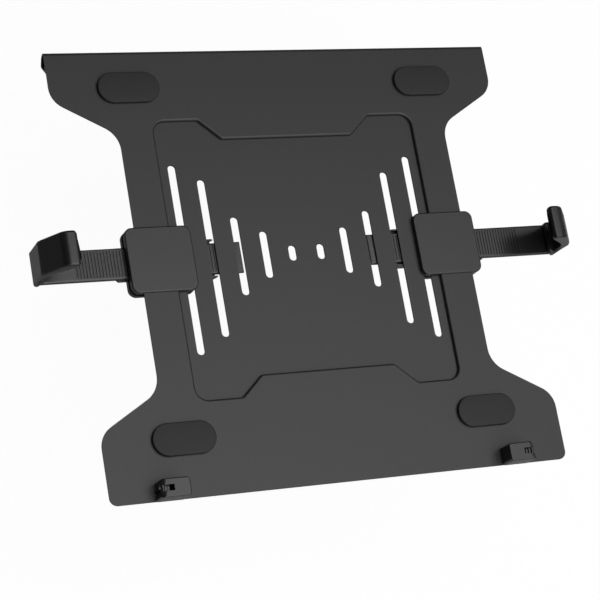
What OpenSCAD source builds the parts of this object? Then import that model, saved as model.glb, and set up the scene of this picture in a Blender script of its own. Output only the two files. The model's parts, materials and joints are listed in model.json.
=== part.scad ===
// Laptop tray for a monitor arm: a pressed steel tray with anti-slip pads, two front
// stops, and two spring-detented side arms that slide in and out and hook over the laptop.
// Millimetres. X is to the right, Y to the rear edge, Z up. The origin is the middle of
// the slot pattern, on the underside of the recessed panel, where an arm head bolts on.

/* [Tray plate] */
// Thickness of the pressed steel sheet
sheet_t = 1.2; // [0.8:0.1:2]
// Overall width of the tray plate
plate_w = 302.4; // [280:0.2:340]
// Width of the plate between the two side clamps
waist_w = 221.8; // [216:0.2:226]
// Distance from the middle to the front edge
front_y = 147.3; // [140:0.1:170]
// Distance from the middle to the rear edge
rear_y = 136.5; // [130:0.1:160]
// Distance from the middle to the corners where the waist ends
waist_y = 81.2; // [76:0.1:88]
// Distance from the middle to the outer shoulder corners
shoulder_y = 104.75; // [100:0.05:110]
// Corner radius at the outer shoulders
shoulder_r = 15; // [2:0.5:16]
// Inner corner radius where the waist meets the shoulders
waist_r = 16.5; // [2:0.5:20]
// Corner radius at the front corners
front_r = 5; // [1:0.5:20]

/* [Rear hem] */
// How far the rolled rear edge hangs below the recessed panel
hem_drop = 6.1; // [5:0.1:6.4]
// Front to back depth of the rolled rear edge at the sheet
hem_depth = 13.8; // [12:0.1:20]
// Radius of the top rear corner of the roll
hem_top_r = 1.8; // [1.3:0.1:3]
// Distance from the rear edge to the roll's lowest line
hem_nose = 5.9; // [5:0.1:7]
// Radius of the roll's lowest line
hem_nose_r = 1.6; // [1.3:0.1:2.4]
// Height of the roll's rear face above its lowest line
hem_rise = 4.4; // [3.5:0.1:5]
// Radius of the roll's lower rear corner
hem_belly_r = 6; // [3:0.5:7]

/* [Recess] */
// How far the middle panel is pressed down
recess_depth = 2.5; // [2:0.1:4]
// Width of the recess
recess_w = 176.4; // [170:0.2:180]
// Distance from the middle to the ends of the recess ears
ear_y = 89.3; // [84:0.1:100]
// Distance from the middle to the middle ends of the recess
recess_mid_y = 76.3; // [70:0.1:80]
// Distance from the middle line to the inner side of each ear
ear_x = 58.8; // [54:0.1:64]
// Distance from the middle line to the inner end of the slope
mid_x = 44.5; // [36:0.1:50]
// Corner radius of the ears
ear_r = 8; // [2:0.5:12]
// Corner radius of the sloped steps
step_r = 3; // [1.5:0.5:5]

/* [Slots] */
// Width of each slot
slot_w = 5; // [4.5:0.1:6]
// Distance from the middle line to the first slot
slot_first_x = 9.6; // [7:0.1:10]
// Distance between neighbouring slots
slot_pitch = 17.6; // [16:0.1:17.8]
// Length of the slot nearest the middle
slot_first_l = 10; // [8:0.1:16]
// How much longer each next slot is
slot_step_l = 20.3; // [10:0.1:21]
// Length of the fourth slot, where the long ones begin
long_slot_l = 101.4; // [80:0.1:110]
// Number of short slots on each side
short_slots = 3; // [1:1:3]
// Number of long slots on each side
long_slots = 2; // [1:1:2]

/* [Pads] */
// Length of an anti-slip pad, across the tray
pad_l = 40; // [24:0.5:50]
// Width of an anti-slip pad
pad_w = 20; // [12:0.5:22]
// Thickness of an anti-slip pad
pad_t = 3; // [1.5:0.1:5]
// Distance from the middle line to a pad's centre
pad_x = 100.7; // [96:0.1:110]
// Distance from the middle to a pad's centre, front or rear
pad_y = 111.6; // [106:0.1:118]

/* [Side clamp] */
// Distance from the middle line to the clamp's centre
clamp_x = 96.8; // [95:0.1:98]
// Width of the clamp, along the arm
clamp_w = 42.4; // [41:0.1:46]
// Length of the clamp, across the arm
clamp_l = 41.4; // [40:0.1:50]
// Plan corner radius of the clamp
clamp_r = 5; // [4:0.1:9]
// Thickness of the cover above the plate
cover_t = 1.2; // [1:0.1:3]
// Rounding of the cover's top edge
cover_edge_r = 0.9; // [0.3:0.1:1.2]
// Depth of the housing below the recessed panel
housing_h = 6.4; // [6.4:0.1:9]
// Depth of the housing's lower shell
shell_h = 4.3; // [3.6:0.1:4.6]
// Rounding of the shell's bottom edge
shell_edge_r = 0.9; // [0.5:0.1:2]
// How far the housing's neck is set in from the shell
neck_inset = 2.5; // [1:0.1:3]
// Distance from the middle line to the inner end of the arm guide
guide_x = 60.5; // [58:0.1:64]
// Wall beside the arm in the guide
guide_wall = 1; // [0.8:0.05:1.4]
// Clearance on each side of the arm in the guide
guide_gap = 1.3; // [0.8:0.05:1.6]
// How far the guide's end slopes back towards its underside
guide_slope = 2.6; // [0.5:0.1:5]
// Distance from the middle line to the outer end of the groove that the arm's lug runs in
lug_stop_x = 77.5; // [77:0.1:84]
// Length of the tongue that carries the arm outside the clamp
tongue_l = 7.2; // [3:0.1:10]
// Thickness of the tongue
tongue_t = 2.6; // [1.5:0.1:3.2]
// Corner cut of the tongue
tongue_cut = 2; // [0.5:0.1:4]
// Width of the jamb on each side of the arm's way out
jamb_w = 3.3; // [2:0.1:5]
// How far the jamb stands out from the neck
jamb_out = 1.7; // [0.5:0.1:2.2]
// Height of the jamb
jamb_h = 1.7; // [1:0.1:2.4]

/* [Screws] */
// Radius of a screw's thread
screw_r = 1.4; // [1.2:0.05:1.6]
// Radius of a clamp screw's head
head_r = 2.7; // [2.3:0.05:2.9]
// Height of a clamp screw's head
head_h = 1.6; // [1.2:0.1:1.8]
// How far a clamp screw's head is let into the housing
head_sink = 0.35; // [0.1:0.05:0.8]
// Wall of a screw boss around its screw
boss_wall = 1.5; // [1:0.1:1.8]
// Distance of the clamp screws from the arm's centre line
screw_y = 14.4; // [14.2:0.1:14.6]
// Radius of a hook screw's flat head
flat_head_r = 2.2; // [1.8:0.05:2.3]
// Thickness of a hook screw's flat head
flat_head_h = 1.1; // [0.8:0.05:1.3]
// Distance of the hook screws from the hook foot's inner face
hook_screw_in = 2.1; // [1.8:0.1:2.2]
// Distance of the hook screws from the arm's centre line
hook_screw_y = 5.5; // [4:0.1:6.5]
// Plastic left above the tip of a hook screw
tip_cover = 0.8; // [0.8:0.1:1.6]

/* [Arm] */
// Width of the sliding arm
arm_w = 20; // [16:0.1:20.4]
// Thickness of the sliding arm
arm_t = 2.2; // [1.8:0.1:2.6]
// Clearance above and below the arm
arm_gap = 0.3; // [0.2:0.05:0.4]
// Clearance on each side of the arm in the clamp
arm_side_gap = 0.5; // [0.3:0.05:0.7]
// Distance from the middle line to the arm's inner end
arm_in_x = 42.9; // [42:0.1:46]
// Distance from the hook's outer face to the arm's outer end
arm_end_gap = 1.9; // [1.5:0.1:2]
// Edge cut along the arm's top
arm_edge = 0.8; // [0.3:0.1:1.2]
// Height of the lug that stops the arm from coming out
lug_h = 2.6; // [1:0.1:2.8]
// Thickness of the lug
lug_t = 2.2; // [1:0.1:3]
// Width of the lug
lug_w = 9; // [4:0.5:12]
// Distance between the grooves on the arm
rib_pitch = 2; // [1.6:0.1:4]
// Width of a groove at the top
groove_w = 1.1; // [0.5:0.05:1.2]
// Depth of a groove
groove_d = 0.45; // [0.2:0.05:0.8]
// Length of a groove, across the arm
groove_l = 16.4; // [8:0.1:17]
// Distance from the middle line to the first groove
rib_in_x = 50.9; // [48:0.1:60]
// Distance from the middle line to the end of the grooves
rib_out_x = 149; // [130:0.1:160]

/* [Detent spring] */
// Thickness of the leaf spring
leaf_t = 0.4; // [0.2:0.05:0.6]
// Width of the leaf spring
leaf_w = 8; // [4:0.1:12]
// Housing left between each end of the leaf spring's pocket and the edge of the plate's strip
leaf_margin = 2; // [1.5:0.1:4]
// Clearance of the leaf spring in its pocket
leaf_gap = 0.3; // [0.1:0.05:0.5]
// Length of each flat end of the leaf spring
leaf_end = 3.8; // [2:0.1:5]
// Width of the leaf spring's crest
leaf_crest = 1; // [0.6:0.1:2]

/* [Hook] */
// Distance from the middle line to the hook's outer face
hook_x = 176.9; // [172:0.1:200]
// Width of the hook, across the arm
hook_w = 21.6; // [20.8:0.1:30]
// Thickness of the hook's wall
hook_t = 3.4; // [2.6:0.1:5]
// Height of the hook's top above the recessed panel's underside
hook_h = 37; // [30:0.1:50]
// Height of the straight part of the hook's outer face
hook_wall_h = 19.4; // [14:0.1:20]
// How far the top corner leans in
hook_lean = 11.6; // [8:0.1:14]
// How far the lip's tip reaches in from the outer face
lip_reach = 20; // [18:0.1:24]
// Depth of the lip at its tip
lip_t = 4.7; // [4:0.1:8]
// Height of the corner of the hook's inner curve
throat_h = 16.5; // [12:0.1:18]
// Radius of the hook's inner curve
throat_r = 20; // [8:0.5:22]
// Corner radius of the hook seen from above
hook_r = 2; // [0.5:0.1:4]
// Radius of the hook's top outer corner
hook_top_r = 7; // [2:0.5:8]
// Radius where the hook's outer face starts to lean in
hook_bend_r = 2.5; // [1:0.5:6]
// Radius of the top corner of the lip's tip
lip_tip_r = 2.2; // [1:0.1:3]
// Radius of the hook's small corners
hook_edge_r = 1; // [0.4:0.1:1.4]
// Radius of the hook's lower outer corner
hook_toe_r = 2.5; // [1:0.1:2.5]
// Thickness of the hook's foot inside the wall
foot_t = 3.2; // [3:0.1:4]
// Height of the hook's foot above the arm
foot_h = 3.6; // [3.4:0.1:8]
// Corner radius of the hook's foot seen from above
foot_r = 3; // [1:0.1:3]

/* [Front stops] */
// Distance from the middle line to a stop's centre
stop_x = 114.55; // [60:0.05:130]
// Width of a stop
stop_w = 18.7; // [16:0.1:30]
// Depth of a stop, front to back
stop_l = 11.3; // [9:0.1:16]
// How far a stop stands out over the front edge
stop_out = 0.35; // [0:0.05:0.6]
// Height of a stop above the plate
stop_h = 13.3; // [8:0.1:20]
// Wall of the stop's moulding
stop_wall = 1.8; // [1:0.1:2.4]
// Corner radius of a stop
stop_r = 1.8; // [1:0.1:3]
// Rounding of a stop's top edge
stop_edge_r = 0.8; // [0.3:0.1:1]
// Number of finger teeth on a stop's outer end
grip_teeth = 2; // [1:1:3]
// Depth of the finger teeth
grip_d = 1.5; // [0.5:0.1:2]
// Length of the latch window in the stop's top
window_w = 8.6; // [7:0.1:9]
// Width of the latch window
window_l = 3.8; // [3:0.1:5]
// Distance between the teeth of the latch
tooth_pitch = 1.8; // [1.4:0.05:2]
// Number of teeth on the latch
latch_teeth = 3; // [2:1:3]
// How much lower each next tooth of the latch is
tooth_step = 0.6; // [0.2:0.1:1]
// Size of the square feet that pass through the plate
foot_w = 3.6; // [2.4:0.1:4]
// How far the feet reach below the sheet
foot_reach = 1.4; // [1:0.1:2]
// How far the barb of a foot stands out
barb_w = 0.6; // [0.3:0.1:1]

/* [Hidden] */
$fn = 72;
// Overlap that joins solids of one piece, and the play between pieces that are pressed together
bite = 0.2;
play = 0.05;

panel_top = sheet_t;
raised_under = recess_depth;
raised_top = recess_depth + sheet_t;
cover_top = raised_top + cover_t;
housing_z = -housing_h;
shell_top = housing_z + shell_h;
arm_top = -arm_gap;
arm_under = arm_top - arm_t;
channel_z = arm_under - arm_gap;
channel_w = arm_w + 2 * arm_side_gap;
guide_in_w = arm_w + 2 * guide_gap;
clamp_in_x = clamp_x - clamp_w / 2;
clamp_out_x = clamp_x + clamp_w / 2;
tongue_x = clamp_out_x + tongue_l;
neck_out_x = clamp_out_x - neck_inset;
neck_l = clamp_l - 2 * neck_inset;
boss_r = screw_r + play + boss_wall;
hook_foot_x = hook_x - hook_t - foot_t;
arm_out_x = hook_x - arm_end_gap;
hook_tip_z = arm_top + foot_h - tip_cover;
stop_y = -front_y - stop_out + stop_l / 2;
// The plate's flat strip between the recess and the waist, where the clamp is screwed together
strip_in_x = recess_w / 2 + sheet_t;
strip_x = (strip_in_x + waist_w / 2) / 2;
leaf_l = waist_w / 2 - strip_in_x - 2 * (leaf_margin + leaf_gap);

// Outlines are lists of [x, y, corner radius], counter-clockwise.
function edge_dir(p, i) =
    let (a = p[i % len(p)], b = p[(i + 1) % len(p)], d = [b[0] - a[0], b[1] - a[1]])
    d / norm(d);
function left_of(v) = [-v[1], v[0]];
function point(p, i) = [p[i][0], p[i][1]];
function bends_left(p, i) = cross(edge_dir(p, i + len(p) - 1), edge_dir(p, i)) > 0;
// The way from a corner to the meeting point of its two edges moved in by 1
function corner_way(p, i) =
    let (a = left_of(edge_dir(p, i + len(p) - 1)), b = left_of(edge_dir(p, i)))
    (a + b) / (1 + a * b);
// An outline moved in by d, or out where d is negative
function inset(p, d) = [for (i = [0:len(p) - 1])
    let (w = corner_way(p, i), r = p[i][2] + (bends_left(p, i) ? -d : d))
    [p[i][0] + d * w[0], p[i][1] + d * w[1], max(0, r)]];
// How far a corner's arc starts from the sharp corner
function arc_start(p, i) = let (w = corner_way(p, i)) p[i][2] * sqrt(max(0, w * w - 1));
function before(p, i) = point(p, i) - arc_start(p, i) * edge_dir(p, i + len(p) - 1);
function after(p, i) = point(p, i) + arc_start(p, i) * edge_dir(p, i);
function arc_centre(p, i) = point(p, i) + (bends_left(p, i) ? 1 : -1) * p[i][2] * corner_way(p, i);

// The sliver between a corner's arc and its chord, with a wedge past the chord that overlaps the outline
module corner_arc(p, i) {
    chord_mid = (before(p, i) + after(p, i)) / 2;
    wedge_tip = chord_mid + (arc_centre(p, i) - chord_mid) / 8;
    intersection() {
        translate(arc_centre(p, i)) circle(r = p[i][2]);
        polygon([before(p, i), point(p, i), after(p, i), wedge_tip]);
    }
}

// A flat outline with true arcs at its corners
module rounded(p) {
    last = len(p) - 1;
    difference() {
        union() {
            polygon([for (i = [0:last]) each p[i][2] > 0 ? [before(p, i), after(p, i)] : [point(p, i)]]);
            for (i = [0:last]) if (p[i][2] > 0 && bends_left(p, i)) corner_arc(p, i);
        }
        for (i = [0:last]) if (p[i][2] > 0 && !bends_left(p, i)) corner_arc(p, i);
    }
}

// Four corners of a rectangle round the middle, with one corner radius
function box_outline(w, l, r) =
    [[-w / 2, -l / 2, r], [w / 2, -l / 2, r], [w / 2, l / 2, r], [-w / 2, l / 2, r]];

// A block with round upright corners and a rounded top edge, standing on z = 0
module soft_block(w, l, h, r, edge) {
    module side_profile(half) {
        rounded([[-half, 0, 0], [half, 0, 0], [half, h, edge], [-half, h, edge]]);
    }
    for (x = [-1, 1], y = [-1, 1]) translate([x * (w / 2 - r), y * (l / 2 - r), 0])
        rotate_extrude() rounded([[0, 0, 0], [r, 0, 0], [r, h, edge], [0, h, 0]]);
    translate([0, l / 2 - r, 0]) rotate([90, 0, 0]) linear_extrude(l - 2 * r) side_profile(w / 2);
    translate([-w / 2 + r, 0, 0]) rotate([90, 0, 90]) linear_extrude(w - 2 * r) side_profile(l / 2);
}

// A profile in X and Z, drawn out along Y round the middle
module along_y(l) {
    translate([0, l / 2, 0]) rotate([90, 0, 0]) linear_extrude(l) children();
}

// A profile in Y and Z, drawn out along X
module along_x(x0, x1) {
    translate([x0, 0, 0]) rotate([90, 0, 90]) linear_extrude(x1 - x0) children();
}

// A straight-sided block between two corners
module block(a, b) {
    translate(a) cube(b - a);
}

module left() {
    mirror([1, 0, 0]) children();
}

// Tray plate

plate_outline = [
    [-plate_w / 2, -front_y, front_r],
    [plate_w / 2, -front_y, front_r],
    [plate_w / 2, -shoulder_y, shoulder_r],
    [waist_w / 2, -waist_y, waist_r],
    [waist_w / 2, waist_y, waist_r],
    [plate_w / 2, shoulder_y, shoulder_r],
    [plate_w / 2, rear_y - hem_depth / 2, 0],
    [-plate_w / 2, rear_y - hem_depth / 2, 0],
    [-plate_w / 2, shoulder_y, shoulder_r],
    [-waist_w / 2, waist_y, waist_r],
    [-waist_w / 2, -waist_y, waist_r],
    [-plate_w / 2, -shoulder_y, shoulder_r]
];

function mirrored_y(p) = [for (i = [len(p) - 1:-1:0]) [p[i][0], -p[i][1], p[i][2]]];

front_half = [
    [-recess_w / 2, -ear_y, ear_r],
    [-ear_x, -ear_y, step_r],
    [-mid_x, -recess_mid_y, step_r],
    [mid_x, -recess_mid_y, step_r],
    [ear_x, -ear_y, step_r],
    [recess_w / 2, -ear_y, ear_r]
];
recess_outline = concat(front_half, mirrored_y(front_half));

// The rolled edge seen from the left end, as [y, z, corner radius]
hem_outline = [
    [rear_y - hem_depth, raised_under, 0],
    [rear_y - hem_nose, -hem_drop, hem_nose_r],
    [rear_y, -hem_drop + hem_rise, hem_belly_r],
    [rear_y, raised_top, hem_top_r],
    [rear_y - hem_depth, raised_top, 0]
];

module hem() {
    along_x(-plate_w / 2, plate_w / 2) difference() {
        rounded(hem_outline);
        rounded(inset([for (i = [0, 1, 2, 3]) hem_outline[i]], sheet_t));
    }
}

module slot(x, l) {
    rounded_l = l - slot_w;
    translate([x, 0]) {
        square([slot_w, rounded_l], center = true);
        for (s = [-1, 1]) translate([0, s * rounded_l / 2]) circle(r = slot_w / 2);
    }
}

function slot_x(i) = slot_first_x + i * slot_pitch;
function slot_l(i) =
    i < short_slots ? slot_first_l + i * slot_step_l : long_slot_l + (i - short_slots) * slot_step_l;

module slots() {
    for (s = [-1, 1], i = [0:short_slots + long_slots - 1]) slot(s * slot_x(i), slot_l(i));
}

// Places of a stop's two square feet, from the stop's centre
stop_feet = [for (s = [-1, 1]) s * (stop_w / 2 - stop_wall - foot_w / 2)];

module plate_holes() {
    for (x = [-1, 1]) {
        for (y = [-1, 1]) translate([x * strip_x, y * screw_y]) circle(r = boss_r + play);
        for (f = stop_feet) translate([x * (stop_x + f), stop_y])
            square(foot_w + 4 * play, center = true);
    }
}

module tray_plate() {
    color([0.22, 0.22, 0.23]) {
        translate([0, 0, raised_under]) linear_extrude(sheet_t) difference() {
            rounded(plate_outline);
            rounded(recess_outline);
            plate_holes();
        }
        linear_extrude(raised_under + bite) difference() {
            rounded(inset(recess_outline, -sheet_t));
            rounded(recess_outline);
        }
        linear_extrude(sheet_t) difference() {
            rounded(inset(recess_outline, -sheet_t));
            slots();
        }
        hem();
    }
}

// Anti-slip pads

module pad(x, y) {
    color([0.16, 0.16, 0.17]) translate([x * pad_x, y * pad_y, raised_top]) linear_extrude(pad_t) {
        square([pad_l - pad_w, pad_w], center = true);
        for (s = [-1, 1]) translate([s * (pad_l - pad_w) / 2, 0]) circle(r = pad_w / 2);
    }
}

module pad_rear_left() {
    pad(-1, 1);
}

module pad_rear_right() {
    pad(1, 1);
}

module pad_front_left() {
    pad(-1, -1);
}

module pad_front_right() {
    pad(1, -1);
}

// Side clamps

module at_clamp_screws() {
    for (y = [-1, 1]) translate([strip_x, y * screw_y, 0]) children();
}

// The cover is screwed down on the plate, and its key fills the outermost slot above the arm
module cover() {
    half_neck = neck_l / 2;
    key_x = slot_x(short_slots + long_slots - 1);
    color([0.26, 0.26, 0.27]) difference() {
        union() {
            difference() {
                translate([clamp_x, 0, panel_top])
                    soft_block(clamp_w, clamp_l, cover_top - panel_top, clamp_r, cover_edge_r);
                block([recess_w / 2 - play, -clamp_l, 0], [waist_w / 2 + play, clamp_l, raised_top]);
                block([waist_w / 2, -half_neck - play, 0], [neck_out_x + play, half_neck + play, raised_top]);
            }
            at_clamp_screws() translate([0, 0, shell_top])
                cylinder(r = boss_r, h = raised_top + bite - shell_top);
            translate([key_x, 0, (panel_top + bite) / 2])
                cube([slot_w - 2 * bite, channel_w, panel_top + bite], center = true);
        }
        at_clamp_screws() translate([0, 0, shell_top - bite])
            cylinder(r = screw_r + play, h = raised_top - shell_top + 2 * bite);
    }
}

module right_cover() {
    cover();
}

module left_cover() {
    left() cover();
}

module leaf_pocket() {
    half_l = leaf_l / 2 + leaf_gap;
    half_w = leaf_w / 2 + leaf_gap;
    block([strip_x - half_l, -half_w, channel_z + arm_t], [strip_x + half_l, half_w, raised_under + bite]);
}

// The arm's way through the guide and the clamp, with the groove for its lug
module channel() {
    groove_half = lug_w / 2 + arm_side_gap;
    block([clamp_in_x, -channel_w / 2, channel_z], [tongue_x, channel_w / 2, 0]);
    block([guide_x - bite, -guide_in_w / 2, channel_z], [clamp_in_x + play, guide_in_w / 2, 0]);
    block([guide_x - bite, -groove_half, channel_z - lug_h], [lug_stop_x, groove_half, channel_z + bite]);
}

module housing() {
    head_seat = housing_z + head_h + head_sink + play;
    neck = box_outline(clamp_w - 2 * neck_inset, neck_l, clamp_r - neck_inset);
    rib_half = neck_l / 2 - clamp_r;
    color([0.24, 0.24, 0.25]) difference() {
        union() {
            translate([clamp_x, 0, shell_top]) mirror([0, 0, 1])
                soft_block(clamp_w, clamp_l, shell_h, clamp_r, shell_edge_r);
            translate([clamp_x, 0, shell_top - bite]) linear_extrude(-shell_top + bite) rounded(neck);
            translate([0, 0, shell_top]) linear_extrude(raised_under - shell_top) intersection() {
                translate([clamp_x, 0]) rounded(neck);
                translate([strip_in_x + play, -clamp_l]) square([clamp_w, 2 * clamp_l]);
            }
            block([waist_w / 2 + 2 * play, -rib_half, 0], [neck_out_x, rib_half, raised_top]);
            guide();
            tongue();
            jambs();
        }
        channel();
        leaf_pocket();
        at_clamp_screws() {
            translate([0, 0, housing_z - bite]) cylinder(r = head_r + bite, h = head_seat - housing_z + bite);
            translate([0, 0, housing_z]) cylinder(r = screw_r + bite, h = housing_h);
            translate([0, 0, shell_top - play]) cylinder(r = boss_r + play, h = raised_top - shell_top);
        }
    }
}

// The trough under the slots that guides the arm's inner end, with a sloping end
module guide() {
    outer_w = guide_in_w + 2 * guide_wall;
    difference() {
        translate([0, 0, housing_z]) linear_extrude(housing_h) rounded([
            [guide_x, -outer_w / 2, guide_wall],
            [clamp_x, -outer_w / 2, 0],
            [clamp_x, outer_w / 2, 0],
            [guide_x, outer_w / 2, guide_wall]
        ]);
        along_y(outer_w + bite) polygon([
            [guide_x, 0],
            [guide_x - bite, 0],
            [guide_x - bite, housing_z - bite],
            [guide_x + guide_slope, housing_z - bite],
            [guide_x + guide_slope, housing_z]
        ]);
    }
}

// The tongue that carries the arm outside the clamp
module tongue() {
    half = channel_w / 2;
    translate([0, 0, channel_z - tongue_t]) linear_extrude(tongue_t) polygon([
        [clamp_x, -half],
        [tongue_x - tongue_cut, -half],
        [tongue_x, -half + tongue_cut],
        [tongue_x, half - tongue_cut],
        [tongue_x - tongue_cut, half],
        [clamp_x, half]
    ]);
}

module jambs() {
    for (s = [-1, 1]) translate([neck_out_x, s * (channel_w + jamb_w) / 2, shell_top - bite])
        block([-bite, -jamb_w / 2, 0], [jamb_out, jamb_w / 2, jamb_h + bite]);
}

module right_housing() {
    housing();
}

module left_housing() {
    left() housing();
}

// A bent strip of spring steel: its ends press on the plate, its crest bears on the ribs
module detent_spring() {
    tip_z = arm_top + arm_gap + leaf_t;
    top = raised_under - play;
    half = leaf_l / 2;
    bend = max(leaf_crest, half - leaf_end);
    line = [
        [-half, top],
        [-bend, top],
        [-leaf_crest / 2, tip_z],
        [leaf_crest / 2, tip_z],
        [bend, top],
        [half, top]
    ];
    lower = [for (i = [len(line) - 1:-1:0]) [line[i][0], line[i][1] - leaf_t]];
    color([0.6, 0.6, 0.62]) translate([strip_x, 0, 0]) along_y(leaf_w) polygon(concat(line, lower));
}

module right_detent_spring() {
    detent_spring();
}

module left_detent_spring() {
    left() detent_spring();
}

// A pan-head screw with its head down and its tip up
module screw(head_z, tip_z) {
    translate([0, 0, head_z]) cylinder(r = head_r, h = head_h);
    translate([0, 0, head_z + head_h - bite]) cylinder(r = screw_r, h = tip_z - head_z - head_h + bite);
}

module clamp_screws() {
    color([0.3, 0.3, 0.31]) for (s = [0, 1]) mirror([s, 0, 0])
        at_clamp_screws() screw(housing_z + head_sink, raised_top - bite);
}

// Sliding arms

module arm() {
    rib_n = floor((rib_out_x - rib_in_x) / rib_pitch);
    sunk = flat_head_h + 2 * play;
    color([0.3, 0.3, 0.31]) difference() {
        union() {
            along_x(arm_in_x, arm_out_x) polygon([
                [-arm_w / 2, arm_under],
                [arm_w / 2, arm_under],
                [arm_w / 2, arm_top - arm_edge],
                [arm_w / 2 - arm_edge, arm_top],
                [-arm_w / 2 + arm_edge, arm_top],
                [-arm_w / 2, arm_top - arm_edge]
            ]);
            block([arm_in_x, -lug_w / 2, arm_under - lug_h], [arm_in_x + lug_t, lug_w / 2, arm_under + bite]);
        }
        along_y(arm_w + bite) polygon([
            [arm_in_x - bite, arm_top - arm_edge - bite],
            [arm_in_x + arm_edge + bite, arm_top + bite],
            [arm_in_x - bite, arm_top + bite]
        ]);
        for (i = [0:rib_n]) translate([rib_in_x + i * rib_pitch, 0, arm_top]) along_y(groove_l) polygon([
            [0, bite],
            [0, 0],
            [groove_w / 4, -groove_d],
            [groove_w * 3 / 4, -groove_d],
            [groove_w, 0],
            [groove_w, bite]
        ]);
        at_hook_screws() {
            cylinder(r = screw_r + play, h = 3 * arm_t, center = true);
            translate([0, 0, arm_under - bite]) cylinder(r = flat_head_r + play, h = sunk + bite);
        }
    }
}

module at_hook_screws() {
    for (y = [-1, 1]) translate([hook_foot_x + hook_screw_in, y * hook_screw_y, 0]) children();
}

module right_arm() {
    arm();
}

module left_arm() {
    left() arm();
}

// Hooks

hook_profile = [
    [hook_foot_x, arm_top, 0],
    [hook_x - hook_t, arm_top, 0],
    [hook_x - hook_t, arm_under, 0],
    [hook_x, arm_under, hook_toe_r],
    [hook_x, hook_wall_h, hook_bend_r],
    [hook_x - hook_lean, hook_h, hook_top_r],
    [hook_x - lip_reach, hook_h, lip_tip_r],
    [hook_x - lip_reach, hook_h - lip_t, hook_edge_r],
    [hook_x - hook_t, throat_h, throat_r],
    [hook_x - hook_t, arm_top + foot_h, 0],
    [hook_foot_x, arm_top + foot_h, hook_edge_r]
];

module hook() {
    color([0.25, 0.25, 0.26]) difference() {
        intersection() {
            along_y(hook_w) rounded(hook_profile);
            translate([hook_x - lip_reach / 2, 0, arm_under - bite])
                linear_extrude(hook_h - arm_under + 2 * bite) rounded(box_outline(lip_reach, hook_w, hook_r));
        }
        block([arm_in_x, -arm_w / 2 - play, arm_under - bite], [arm_out_x + play, arm_w / 2 + play, arm_top]);
        at_hook_screws() translate([0, 0, arm_top - bite])
            cylinder(r = screw_r + play, h = hook_tip_z - arm_top + 2 * bite);
        for (y = [-1, 1]) translate([hook_foot_x, y * hook_w / 2, arm_top - bite])
            linear_extrude(foot_h + 2 * bite) difference() {
                translate([-bite, y > 0 ? -foot_r : -bite]) square(foot_r + bite);
                translate([foot_r, -y * foot_r]) circle(r = foot_r);
            }
    }
}

module right_hook() {
    hook();
}

module left_hook() {
    left() hook();
}

// The screws that hold a hook on its arm, with flat heads let into the arm
module hook_screws() {
    color([0.3, 0.3, 0.31]) at_hook_screws() {
        translate([0, 0, arm_under + play]) cylinder(r = flat_head_r, h = flat_head_h);
        translate([0, 0, arm_under + flat_head_h - bite])
            cylinder(r = screw_r, h = hook_tip_z - arm_under - flat_head_h + bite);
    }
}

module right_hook_screws() {
    hook_screws();
}

module left_hook_screws() {
    left() hook_screws();
}

// Front stops

module stop() {
    half_w = stop_w / 2;
    half_l = stop_l / 2;
    latch_x = half_w - grip_d;
    color([0.24, 0.24, 0.25]) translate([stop_x, stop_y, raised_top]) {
        difference() {
            soft_block(stop_w, stop_l, stop_h, stop_r, stop_edge_r);
            block([-half_w + stop_wall, -half_l + stop_wall, -bite],
                [latch_x - stop_wall, half_l - stop_wall, stop_h - stop_wall]);
            block([half_w - window_w, -window_l / 2, stop_h - 2 * stop_wall],
                [half_w + bite, window_l / 2, stop_h + bite]);
            translate([0, 0, -bite]) linear_extrude(stop_h + 2 * bite) finger_cuts(half_w, half_l);
        }
        latch(latch_x);
        for (f = stop_feet) translate([f, 0, 0]) foot();
    }
}

// The sloped cuts that leave the finger teeth, seen from above
module finger_cuts(half_w, half_l) {
    tooth_l = stop_l / grip_teeth;
    for (i = [0:grip_teeth - 1]) translate([half_w, half_l - i * tooth_l])
        polygon([[-grip_d, 0], [0, -tooth_l], [bite, -tooth_l], [bite, 0]]);
    translate([half_w - grip_d, half_l - play]) square([grip_d + bite, play + bite]);
}

// The toothed snap latch that shows in the window, moulded in one with the stop
module latch(latch_x) {
    half = window_l / 2 + bite;
    tooth_top = stop_h - stop_wall;
    root_z = tooth_top / 3;
    for (i = [0:latch_teeth - 1]) translate([latch_x - i * tooth_pitch, 0, 0])
        block([-tooth_pitch / 2 - bite, -half, root_z], [0, half, tooth_top - i * tooth_step]);
    block([latch_x - (latch_teeth - 0.5) * tooth_pitch - bite, -half, root_z],
        [latch_x - bite, half, tooth_top - stop_wall]);
}

// A square foot through the plate, with a barb that catches under the sheet
module foot() {
    below = sheet_t + foot_reach;
    barb_h = foot_reach - bite;
    translate([0, 0, (stop_wall - below) / 2]) cube([foot_w, foot_w, below + stop_wall], center = true);
    translate([0, 0, barb_h / 2 - below]) cube([foot_w, foot_w + 2 * barb_w, barb_h], center = true);
}

module right_stop() {
    stop();
}

module left_stop() {
    left() stop();
}

tray_plate();
pad_rear_left();
pad_rear_right();
pad_front_left();
pad_front_right();
left_cover();
right_cover();
left_housing();
right_housing();
clamp_screws();
left_detent_spring();
right_detent_spring();
left_arm();
right_arm();
left_hook();
right_hook();
left_hook_screws();
right_hook_screws();
left_stop();
right_stop();
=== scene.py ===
"""A black steel laptop tray with foam pads, front stops and two sliding hook arms, over a pale floor."""

import json
import math

import bmesh
import bpy
from mathutils import Matrix, Vector

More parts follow.
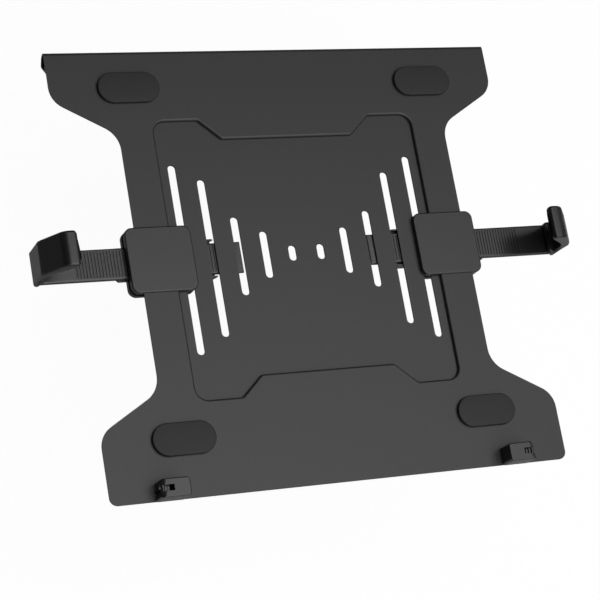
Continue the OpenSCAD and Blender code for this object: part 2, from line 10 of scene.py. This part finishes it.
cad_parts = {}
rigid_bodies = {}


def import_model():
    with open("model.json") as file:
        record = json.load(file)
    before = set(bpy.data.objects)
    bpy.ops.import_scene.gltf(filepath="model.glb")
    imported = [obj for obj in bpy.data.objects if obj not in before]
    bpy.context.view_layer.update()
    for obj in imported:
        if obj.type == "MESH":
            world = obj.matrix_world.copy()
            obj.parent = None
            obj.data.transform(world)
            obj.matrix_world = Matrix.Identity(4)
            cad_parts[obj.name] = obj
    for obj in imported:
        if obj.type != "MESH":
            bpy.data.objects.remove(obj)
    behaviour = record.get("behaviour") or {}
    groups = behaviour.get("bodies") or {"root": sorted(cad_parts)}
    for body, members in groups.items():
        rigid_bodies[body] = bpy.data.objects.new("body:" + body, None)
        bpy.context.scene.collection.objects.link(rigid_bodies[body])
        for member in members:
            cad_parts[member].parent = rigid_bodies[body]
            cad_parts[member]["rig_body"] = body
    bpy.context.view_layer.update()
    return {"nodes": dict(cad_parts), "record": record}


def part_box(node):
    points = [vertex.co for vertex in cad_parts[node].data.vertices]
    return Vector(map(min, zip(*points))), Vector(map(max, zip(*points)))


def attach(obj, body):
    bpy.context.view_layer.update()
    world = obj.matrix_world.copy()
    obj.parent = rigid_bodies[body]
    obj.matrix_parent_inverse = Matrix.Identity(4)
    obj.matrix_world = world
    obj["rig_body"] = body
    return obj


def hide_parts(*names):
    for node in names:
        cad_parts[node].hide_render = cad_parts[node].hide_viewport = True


MM = 0.001

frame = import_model()
nodes = frame["nodes"]


def show(thing):
    """Puts an object into the scene."""
    bpy.context.scene.collection.objects.link(thing)


# Camera: a long lens over the front left corner, with the tray turned in the picture

SENSOR_WIDTH = 36.0  # mm
CAMERA_LENS = 121.33  # mm
CAMERA_SIGHT = 20.0  # m
CAMERA_AT = Vector((-0.49348, -0.34180, 1.11303))
CAMERA_RIGHT = Vector((0.9204, -0.1688, 0.3528))
CAMERA_UP = Vector((0.0622, 0.9538, 0.2939))


def place_camera():
    data = bpy.data.cameras.new("photo_camera")
    data.lens = CAMERA_LENS
    data.sensor_width = SENSOR_WIDTH
    data.clip_end = CAMERA_SIGHT
    camera = bpy.data.objects.new("photo_camera", data)
    back = CAMERA_RIGHT.cross(CAMERA_UP).normalized()
    up = back.cross(CAMERA_RIGHT).normalized()
    right = up.cross(back)
    camera.matrix_world = Matrix.Translation(CAMERA_AT) @ Matrix((right, up, back)).transposed().to_4x4()
    show(camera)
    bpy.context.scene.camera = camera


# Colours and nodes

WHITE = [1.0, 1.0, 1.0, 1.0]
# A Mix node's sockets when it mixes colours, which share their names with its other sockets
MIX_FACTOR = 0
MIX_A = 6
MIX_B = 7
MIX_RESULT = 2


def linear(code):
    """A hex sRGB colour as linear RGBA."""
    parts = [int(code[i : i + 2], 16) / 255 for i in (1, 3, 5)]
    return [c / 12.92 if c <= 0.04045 else ((c + 0.055) / 1.055) ** 2.4 for c in parts] + [1.0]


def empty_tree(owner):
    """The node tree of a material or world, with nothing in it."""
    owner.use_nodes = True
    owner.node_tree.nodes.clear()
    return owner.node_tree


def add(tree, kind, inputs=None, **settings):
    """Adds a node. Settings are its properties, and inputs are numbers or the sockets to link from."""
    node = tree.nodes.new(kind)
    for name, value in settings.items():
        setattr(node, name, value)
    for name, value in (inputs or {}).items():
        if isinstance(value, bpy.types.NodeSocket):
            tree.links.new(value, node.inputs[name])
        else:
            node.inputs[name].default_value = value
    return node


# Size in mm of the broad patches in which a moulding or a coat is a little lighter or darker
PATCH = 45
PATCH_DETAIL = 4.0
GRAIN_DETAIL = 3.0


def grained(name, colour, roughness, grain, depth, ior=1.5, metallic=0.0, mottle=0.06, spread=0.05):
    """A surface with a grain of that size and depth in mm, its colour and gloss a little uneven."""
    material = bpy.data.materials.new(name)
    tree = empty_tree(material)
    place = add(tree, "ShaderNodeTexCoord").outputs["Object"]
    fine = add(
        tree, "ShaderNodeTexNoise", {"Vector": place, "Scale": 1 / (grain * MM), "Detail": GRAIN_DETAIL}
    )
    broad = add(
        tree, "ShaderNodeTexNoise", {"Vector": place, "Scale": 1 / (PATCH * MM), "Detail": PATCH_DETAIL}
    )
    base = linear(colour)
    tint = add(
        tree,
        "ShaderNodeMix",
        {
            MIX_FACTOR: broad.outputs["Fac"],
            MIX_A: [c * (1 - mottle) for c in base[:3]] + [1.0],
            MIX_B: [c * (1 + mottle) for c in base[:3]] + [1.0],
        },
        data_type="RGBA",
    )
    gloss = add(
        tree,
        "ShaderNodeMapRange",
        {"Value": fine.outputs["Fac"], "To Min": roughness - spread, "To Max": roughness + spread},
    )
    bump = add(
        tree, "ShaderNodeBump", {"Height": fine.outputs["Fac"], "Strength": 1.0, "Distance": depth * MM}
    )
    shader = add(
        tree,
        "ShaderNodeBsdfPrincipled",
        {
            "Base Color": tint.outputs[MIX_RESULT],
            "Roughness": gloss.outputs["Result"],
            "Normal": bump.outputs["Normal"],
            "Metallic": metallic,
            "IOR": ior,
        },
    )
    add(tree, "ShaderNodeOutputMaterial", {"Surface": shader.outputs["BSDF"]})
    return material


# Matt black powder coat, baked on pressed steel: a fine even grain that scatters the light
powder_coat = grained("powder_coat", "#1f1f20", 0.47, 0.35, 0.01)
# Closed-cell EVA foam: very matt, with pin-prick cells
eva_foam = grained("eva_foam", "#1b1b1c", 0.66, 0.5, 0.03, ior=1.45, mottle=0.1)
# Moulded ABS with a fine spark-eroded texture
moulded_abs = grained("moulded_abs", "#1a1a1b", 0.37, 0.3, 0.008)
# Moulded nylon from a plain tool, a little smoother than the ABS, so the arms take a satin sheen
moulded_nylon = grained("moulded_nylon", "#161617", 0.31, 0.4, 0.002, ior=1.53, spread=0.02)
# Moulded nylon from a textured tool, as a hook has that fingers pull
textured_nylon = grained("textured_nylon", "#141415", 0.34, 0.35, 0.005, ior=1.51)
# Bare spring steel, rolled: grey, with a satin sheen
spring_steel = grained("spring_steel", "#8a8a8e", 0.3, 0.2, 0.003, metallic=1.0)
# Steel screws, blackened: a dark metal that is still a little glossy
black_steel = grained("black_steel", "#3a3a3c", 0.35, 0.2, 0.004, metallic=1.0)

FINISH = {
    "powder_coated_steel": powder_coat,
    "eva_foam": eva_foam,
    "moulded_abs": moulded_abs,
    "moulded_nylon": moulded_nylon,
    "spring_steel": spring_steel,
    "black_screw": black_steel,
}
SLOT_OF = {part["node"]: part["material_slot"] for part in frame["record"]["subparts"]}
OWN_FINISH = {"left_hook": textured_nylon, "right_hook": textured_nylon}


# Work on meshes

# Points of a CAD mesh that are the same, and faces that are one flat face
MERGED_WITHIN = 0.003 * MM
FLAT_WITHIN = math.radians(0.4)
# Slivers that the roundings leave
SLIVER = 0.001 * MM
# The turn between two faces from which their edge is rounded, and from which it stays sharp in the shading
ROUNDED_FROM = math.radians(30)
SHARP_FROM = math.radians(40)


def whole(node):
    """A closed copy of a CAD node as a bmesh, with its flat faces in one piece."""
    mesh = bmesh.new()
    mesh.from_mesh(nodes[node].data)
    bmesh.ops.remove_doubles(mesh, verts=mesh.verts, dist=MERGED_WITHIN)
    bmesh.ops.dissolve_limit(mesh, angle_limit=FLAT_WITHIN, verts=mesh.verts, edges=mesh.edges)
    return mesh


def sharp_edges(mesh):
    return [e for e in mesh.edges if len(e.link_faces) == 2 and e.calc_face_angle(0) > ROUNDED_FROM]


def ease(mesh, edges, radius, segments=3, clamp=True):
    """Rounds those edges by a radius in mm, or by less where clamped and the shape leaves no room."""
    bmesh.ops.bevel(
        mesh,
        geom=edges,
        offset=radius * MM,
        offset_type="OFFSET",
        affect="EDGES",
        segments=segments,
        profile=0.5,
        material=-1,
        clamp_overlap=clamp,
    )


def cut(mesh, point, normal):
    """Adds edges where a plane crosses the mesh."""
    everything = mesh.verts[:] + mesh.edges[:] + mesh.faces[:]
    bmesh.ops.bisect_plane(mesh, geom=everything, plane_co=point, plane_no=normal)


def fall(radius, inward):
    """How far a rounding of that radius has come down, at that distance inward of the side that it meets."""
    return radius - math.sqrt(radius**2 - (radius - inward) ** 2)


def put(mesh, name, node):
    """Makes the piece that stands for a CAD node, with its finish and its body."""
    bmesh.ops.remove_doubles(mesh, verts=mesh.verts, dist=SLIVER)
    bmesh.ops.dissolve_degenerate(mesh, edges=mesh.edges, dist=SLIVER)
    data = bpy.data.meshes.new(name)
    mesh.to_mesh(data)
    mesh.free()
    piece = bpy.data.objects.new(name, data)
    show(piece)
    data.shade_smooth()
    data.set_sharp_from_angle(angle=SHARP_FROM)
    piece.modifiers.new("even", "WEIGHTED_NORMAL").keep_sharp = True
    data.materials.append(OWN_FINISH.get(node, FINISH[SLOT_OF[node]]))
    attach(piece, nodes[node]["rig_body"])
    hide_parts(node)
    return piece


# Tray: a pressed recess in the middle, and a rear edge rolled down into a hem

PADS = [node for node in nodes if node.startswith("pad_")]
# The pads stand on the plate
PLATE_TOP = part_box(PADS[0])[0][2]
# Points this close to a height lie at it
LEVEL_WITHIN = 0.05 * MM
# More than the plate's own thickness, so that only a recess wall is that tall
RECESS_WALL = 2 * MM
# How far the recess reaches, front or rear
RECESS_REACH = 95 * MM
RECESS_ROUND = 1.4  # mm
RECESS_STEPS = 5
REAR_ROUND = 2.5 * MM
REAR_CUTS = 8


def level_at(edge, height):
    return all(abs(v.co.z - height) < LEVEL_WITHIN for v in edge.verts)


def recess_rim(mesh):
    """The upper edges of the walls that go down from the plate into the pressed recess."""
    deep = PLATE_TOP - RECESS_WALL
    return [
        e
        for e in sharp_edges(mesh)
        if level_at(e, PLATE_TOP)
        and all(abs(v.co.y) < RECESS_REACH for v in e.verts)
        and any(min(v.co.z for v in f.verts) < deep for f in e.link_faces)
    ]


def round_rear_edge(mesh):
    """Rounds the tray's top rear edge over, where the sheet rolls down into the hem."""
    rear = max(v.co.y for v in mesh.verts)
    top = max(v.co.z for v in mesh.verts)
    for step in range(1, REAR_CUTS + 1):
        cut(mesh, (0, rear - REAR_ROUND * step / REAR_CUTS, 0), (0, 1, 0))
    for vert in mesh.verts:
        inward = rear - vert.co.y
        if inward < REAR_ROUND:
            vert.co.z = min(vert.co.z, top - fall(REAR_ROUND, inward))


# Arms: the upper long edges, which are cut off at a slant, rounded more than the rest

ARM_ROUND = 0.5  # mm
# Only an arm's long edges are longer than this, and only its upper ones are higher than this
RAIL_LENGTH = 60 * MM
RAIL_LOWEST = -1.6 * MM


def arm_rails(mesh):
    """The long edges on both sides of an arm's top, above and below its slanted cuts."""
    return [
        e
        for e in sharp_edges(mesh)
        if abs(e.verts[0].co.x - e.verts[1].co.x) > RAIL_LENGTH
        and min(v.co.z for v in e.verts) > RAIL_LOWEST
    ]


# Hooks: both side faces rounded off well, above the arm

HOOK_ROUND = 1.6  # mm
HOOK_STEPS = 4
# A hook's corner radius seen from above, with some room, and how high the rounding of its sides starts
HOOK_CORNER = 3 * MM
HOOK_RIM_FROM = 0.3 * MM


def hook_rims(mesh):
    """The edges round a hook's two side faces, above the arm."""
    side = max(v.co.y for v in mesh.verts)
    return [
        e
        for e in sharp_edges(mesh)
        if all(abs(v.co.y) > side - HOOK_CORNER and v.co.z > HOOK_RIM_FROM for v in e.verts)
    ]


# Stops: the finger teeth on a stop's outer end, and the rounding that comes down over them

GRIP_TEETH = 2
GRIP_DEPTH = 1.5 * MM
GRIP_ROUND = 3.2 * MM
GRIP_CUTS = 10


def round_off_grip(mesh, side):
    """Rounds a stop's outer end off, from its top down over the finger teeth. Side is -1 for the left one."""
    outer = max(abs(v.co.x) for v in mesh.verts)
    top = max(v.co.z for v in mesh.verts)
    above_plate = [v.co.y for v in mesh.verts if v.co.z > PLATE_TOP]
    rear = max(above_plate)
    front = min(above_plate)
    tooth = (rear - front) / GRIP_TEETH
    reach = GRIP_DEPTH + GRIP_ROUND
    for step in range(1, GRIP_CUTS + 1):
        cut(mesh, (side * (outer - reach * step / GRIP_CUTS), 0, 0), (1, 0, 0))
        cut(mesh, (0, front + (rear - front) * (step - 0.5) / GRIP_CUTS, 0), (0, 1, 0))
    for vert in mesh.verts:
        share = (rear - vert.co.y) / tooth % 1
        inward = max(outer - GRIP_DEPTH * (1 - share) - abs(vert.co.x), 0)
        if inward < GRIP_ROUND:
            vert.co.z = min(vert.co.z, top - fall(GRIP_ROUND, inward))


# Radius in mm of the rest of the sharp edges, of each moulded or pressed piece
EASED = {
    "left_cover": 0.3,
    "right_cover": 0.3,
    "left_housing": 0.25,
    "right_housing": 0.25,
    "left_arm": 0.12,
    "right_arm": 0.12,
    "left_stop": 0.25,
    "right_stop": 0.25,
    "left_hook": 0.3,
    "right_hook": 0.3,
    "tray_plate": 0.25,
}


def dress_rigid_nodes():
    """Rounds the moulded and pressed pieces, and gives the springs and screws their finish."""
    for node, radius in EASED.items():
        mesh = whole(node)
        if node.endswith("_hook"):
            ease(mesh, hook_rims(mesh), HOOK_ROUND, HOOK_STEPS, clamp=False)
        if node == "tray_plate":
            round_rear_edge(mesh)
            ease(mesh, recess_rim(mesh), RECESS_ROUND, RECESS_STEPS)
        if node.endswith("_stop"):
            round_off_grip(mesh, -1 if node.startswith("left") else 1)
        if node.endswith("_arm"):
            ease(mesh, arm_rails(mesh), ARM_ROUND, clamp=False)
        ease(mesh, sharp_edges(mesh), radius)
        put(mesh, node + "_moulding", node)
    for node in nodes:
        if node not in EASED and node not in PADS:
            nodes[node].data.materials.clear()
            nodes[node].data.materials.append(FINISH[SLOT_OF[node]])


# Pads: a rim rolled in steps, then rings that rise to a slight crown

PAD_SEGMENTS = 72
PAD_EDGE = 0.8 * MM
PAD_STEPS = 6
PAD_CROWN = 0.3 * MM
# How the crown's height is shared out, from the rim to the middle
CROWN_SHARES = (0.6, 0.3, 0.1)


def foam_pad(node):
    """A stadium of foam with a rolled rim and a slight crown, glued on the tray."""
    low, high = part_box(node)
    radius = (high[1] - low[1]) / 2
    straight = (high[0] - low[0]) / 2 - radius
    side = high[2] - low[2] - PAD_EDGE - PAD_CROWN
    ring = (radius - PAD_EDGE) / (len(CROWN_SHARES) + 1)
    mesh = bmesh.new()
    bmesh.ops.create_circle(mesh, cap_ends=True, radius=radius, segments=PAD_SEGMENTS)
    # Turned by half a segment, so that no point lies on the line along which the circle is parted
    bmesh.ops.rotate(mesh, verts=mesh.verts, matrix=Matrix.Rotation(math.pi / PAD_SEGMENTS, 3, "Z"))
    for vert in mesh.verts:
        vert.co.x += math.copysign(straight, vert.co.x)
    top = bmesh.ops.extrude_face_region(mesh, geom=mesh.faces[:])
    face = [f for f in top["geom"] if isinstance(f, bmesh.types.BMFace)]
    bmesh.ops.translate(mesh, verts=face[0].verts, vec=(0, 0, side))
    for step in range(1, PAD_STEPS + 1):
        turn = math.pi / 2 * step / PAD_STEPS
        last = math.pi / 2 * (step - 1) / PAD_STEPS
        inward = PAD_EDGE * (math.cos(last) - math.cos(turn))
        rise = PAD_EDGE * (math.sin(turn) - math.sin(last))
        bmesh.ops.inset_region(mesh, faces=face, thickness=inward, depth=rise)
    for share in CROWN_SHARES:
        bmesh.ops.inset_region(mesh, faces=face, thickness=ring, depth=PAD_CROWN * share)
    middle = ((low[0] + high[0]) / 2, (low[1] + high[1]) / 2, low[2])
    bmesh.ops.translate(mesh, verts=mesh.verts, vec=middle)
    bmesh.ops.recalc_face_normals(mesh, faces=mesh.faces)
    put(mesh, node + "_foam", node)


# Floor, lamps and world

FLOOR_Z = -0.15
FLOOR_HALF = 8.0
# The floor's own white to the camera, and the dimmer tone that light bounces off
FLOOR_SEEN = "#f4f4f4"
FLOOR_BOUNCED = "#acacac"
# Share of the floor's white that takes the tray's shadow, and that gloss mirrors at full strength
FLOOR_SHADOW = 0.04
FLOOR_MIRRORED = 0.05
# Strength of the room's own light
ROOM = 0.04
# Name, centre, aim, width, depth and radiance. The first lights the upper faces and the second the front
# edges, and the last two are weak fills for the sides that face away
LAMPS = [
    ("overhead_softbox", (0.5, -0.71, 2.0), (0, 0, -1), 2.0, 2.8, 2.9),
    ("front_softbox", (0.5, -2.15, 1.2), (0, 1, 0), 2.0, 1.6, 2.1),
    ("rear_softbox", (0.4, 2.6, 1.5), (0, -1, -0.5), 4.0, 1.5, 0.2),
    ("right_softbox", (2.8, 0.2, 1.5), (-1, 0, -0.5), 4.0, 1.5, 0.4),
]


def floor_white():
    """Plain white to the camera, with a faint shadow. Gloss mirrors it as the dimmer floor that it is."""
    material = bpy.data.materials.new("floor_white")
    tree = empty_tree(material)
    rays = add(tree, "ShaderNodeLightPath")
    glossy = add(
        tree,
        "ShaderNodeMath",
        {0: rays.outputs["Is Glossy Ray"], 1: rays.outputs["Is Transmission Ray"]},
        operation="MAXIMUM",
    )
    mirrored = add(tree, "ShaderNodeMath", {0: glossy.outputs[0], 1: FLOOR_MIRRORED}, operation="MULTIPLY")
    seen = add(
        tree,
        "ShaderNodeMath",
        {0: rays.outputs["Is Camera Ray"], 1: 1 - FLOOR_SHADOW, 2: mirrored.outputs[0]},
        operation="MULTIPLY_ADD",
    )
    tone = add(
        tree,
        "ShaderNodeMix",
        {MIX_FACTOR: rays.outputs["Is Camera Ray"], MIX_A: linear(FLOOR_BOUNCED), MIX_B: linear(FLOOR_SEEN)},
        data_type="RGBA",
    )
    lit = add(tree, "ShaderNodeBsdfDiffuse", {"Color": tone.outputs[MIX_RESULT]})
    glow = add(tree, "ShaderNodeEmission", {"Color": WHITE, "Strength": 1.0})
    mix = add(tree, "ShaderNodeMixShader", {0: seen.outputs[0], 1: lit.outputs[0], 2: glow.outputs[0]})
    add(tree, "ShaderNodeOutputMaterial", {"Surface": mix.outputs[0]})
    return material


def make_floor():
    mesh = bmesh.new()
    bmesh.ops.create_grid(mesh, x_segments=1, y_segments=1, size=FLOOR_HALF)
    bmesh.ops.translate(mesh, verts=mesh.verts, vec=(0, 0, FLOOR_Z))
    data = bpy.data.meshes.new("floor")
    mesh.to_mesh(data)
    mesh.free()
    floor = bpy.data.objects.new("floor", data)
    show(floor)
    data.materials.append(floor_white())


def hang_lamp(name, centre, aim, width, depth, radiance):
    """A softbox that shines in the direction aim. Its power is pi times its area times its radiance."""
    data = bpy.data.lights.new(name, "AREA")
    data.shape = "RECTANGLE"
    data.size = width
    data.size_y = depth
    data.energy = math.pi * width * depth * radiance
    lamp = bpy.data.objects.new(name, data)
    lamp.location = centre
    lamp.rotation_euler = Vector(aim).to_track_quat("-Z", "Y").to_euler()
    show(lamp)


def make_world():
    """A white backdrop to the camera, in a dim room."""
    world = bpy.data.worlds.new("studio")
    bpy.context.scene.world = world
    tree = empty_tree(world)
    rays = add(tree, "ShaderNodeLightPath")
    room = add(tree, "ShaderNodeBackground", {"Color": WHITE, "Strength": ROOM})
    backdrop = add(tree, "ShaderNodeBackground", {"Color": WHITE, "Strength": 1.0})
    mix = add(
        tree,
        "ShaderNodeMixShader",
        {0: rays.outputs["Is Camera Ray"], 1: room.outputs[0], 2: backdrop.outputs[0]},
    )
    add(tree, "ShaderNodeOutputWorld", {"Surface": mix.outputs[0]})


place_camera()
dress_rigid_nodes()
for pad in PADS:
    foam_pad(pad)
make_floor()
for softbox in LAMPS:
    hang_lamp(*softbox)
make_world()
bpy.context.scene.view_settings.view_transform = "Standard"
